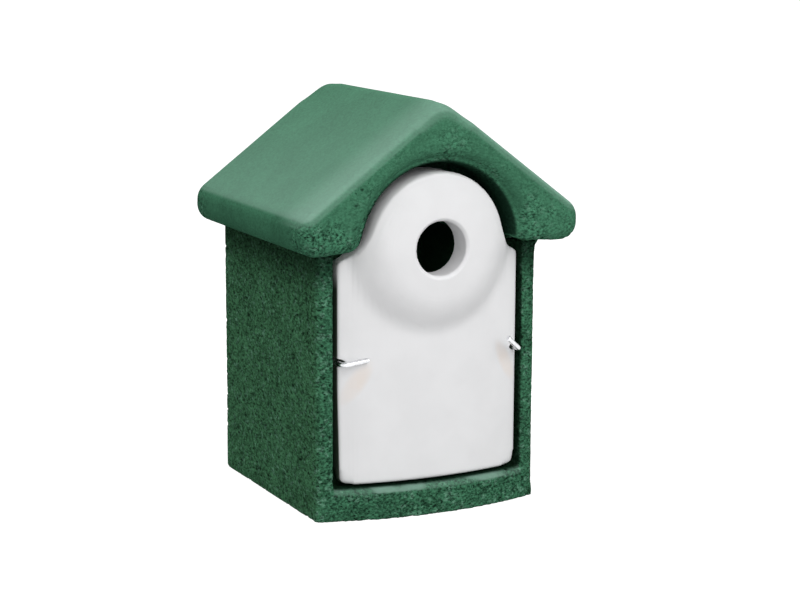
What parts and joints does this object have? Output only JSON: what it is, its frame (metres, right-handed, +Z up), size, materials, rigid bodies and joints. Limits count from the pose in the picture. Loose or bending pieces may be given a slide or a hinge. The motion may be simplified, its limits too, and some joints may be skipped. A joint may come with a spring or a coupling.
{
  "type": "woodcrete nest box",
  "caption": "Cast woodcrete bird nest box with a gabled overhanging roof, a bowed front and a removable domed front panel with a round entrance, held by turn hooks.",
  "frame": {"origin": "on the base plane, below the middle of the roof in length and width", "axes": "+Z up, -Y out of the front panel and entrance hole, +X to the right seen from the front"},
  "size_m": [0.179, 0.17, 0.2432],
  "materials": {
    "woodcrete": "coarse cast, stained green",
    "roof_woodcrete": "cast, smoother on its slopes, stained green",
    "mortar": "matt, stained green",
    "white_panel": "smooth cast, white satin paint",
    "zinc_wire": "bright zinc plate",
    "nylon": "grey nylon",
    "galvanised_steel": "galvanised",
    "screw_steel": "zinc plated"
  },
  "bodies": {
    "box": {"box_body": "woodcrete", "roof_mortar_bed": "mortar", "roof": "roof_woodcrete", "hook_plugs": "nylon", "hanger_strap": "galvanised_steel", "hanger_screws": "screw_steel", "hanger_plugs": "nylon"},
    "front": {"front_panel": "white_panel"},
    "left_hook": {"left_turn_hook": "zinc_wire"},
    "right_hook": {"right_turn_hook": "zinc_wire"}
  },
  "joints": [
    {"name": "front_panel_pull", "type": "slide", "parent": "box", "child": "front", "axis": [0, -1, 0], "range_m": [0, 0.12]},
    {"name": "left_hook_turn", "type": "hinge", "parent": "front", "child": "left_hook", "pos_m": [-0.0576, -0.0527, 0.0934], "axis": [0, -1, 0], "range_deg": [0, 175]},
    {"name": "right_hook_turn", "type": "hinge", "parent": "front", "child": "right_hook", "pos_m": [0.0576, -0.0527, 0.0934], "axis": [0, 1, 0], "range_deg": [0, 144]}
  ]
}
